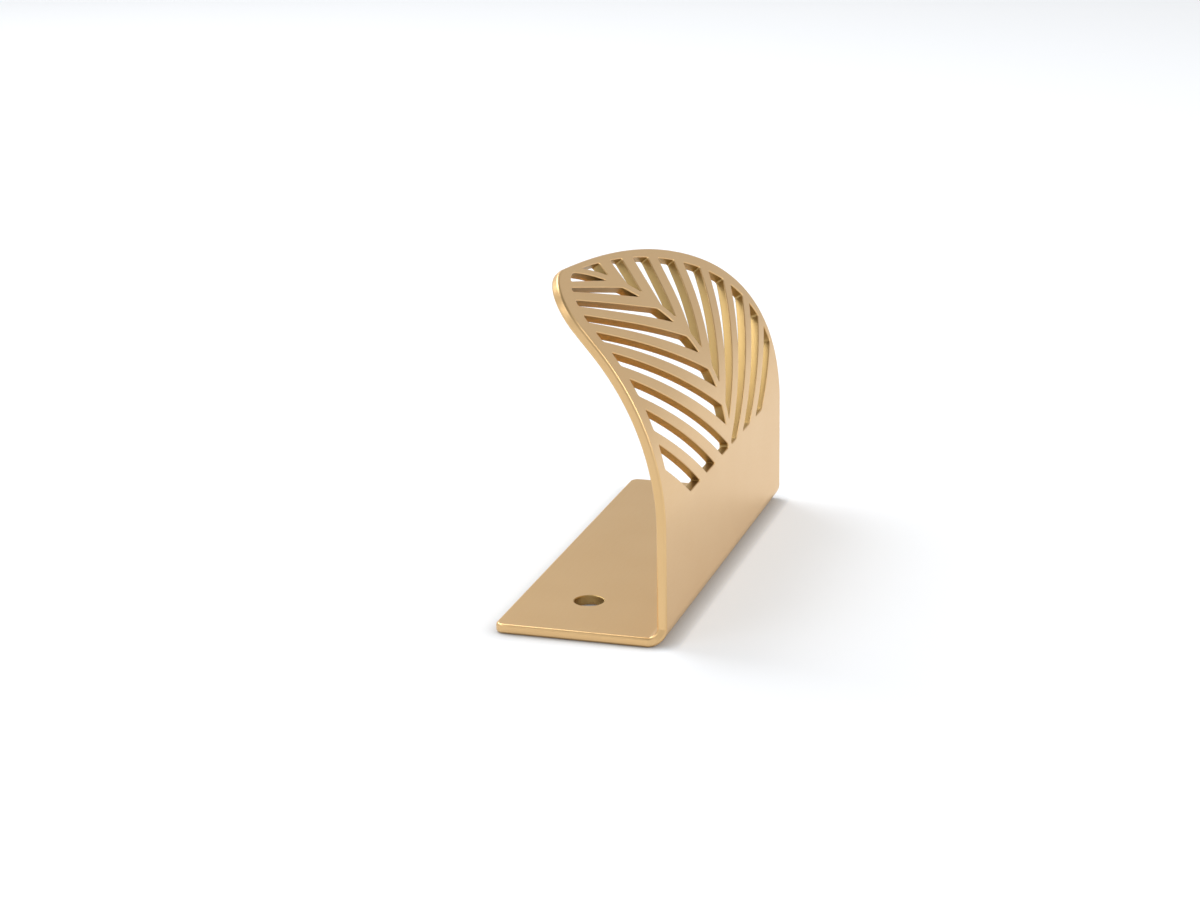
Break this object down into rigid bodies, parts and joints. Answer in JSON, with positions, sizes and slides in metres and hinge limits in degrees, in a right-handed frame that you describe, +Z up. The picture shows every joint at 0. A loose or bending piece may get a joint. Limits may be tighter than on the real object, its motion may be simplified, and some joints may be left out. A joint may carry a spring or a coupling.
{
  "type": "leaf shaped pull",
  "caption": "Folded sheet brass cabinet pull with a flat screw base and an upright that curls over it as a pierced leaf with a midrib and side ribs.",
  "frame": {"origin": "middle of the base's underside, under the centre of the whole part", "axes": "+Z up from the base's underside, +Y along the fold from the near end to the far end, +X across the base toward the leaf's outer face"},
  "size_m": [0.028, 0.0772, 0.057],
  "materials": {
    "brass": "satin brushed, unlacquered warm yellow"
  },
  "bodies": {
    "root": {"leaf_pull": "brass"}
  },
  "joints": []
}
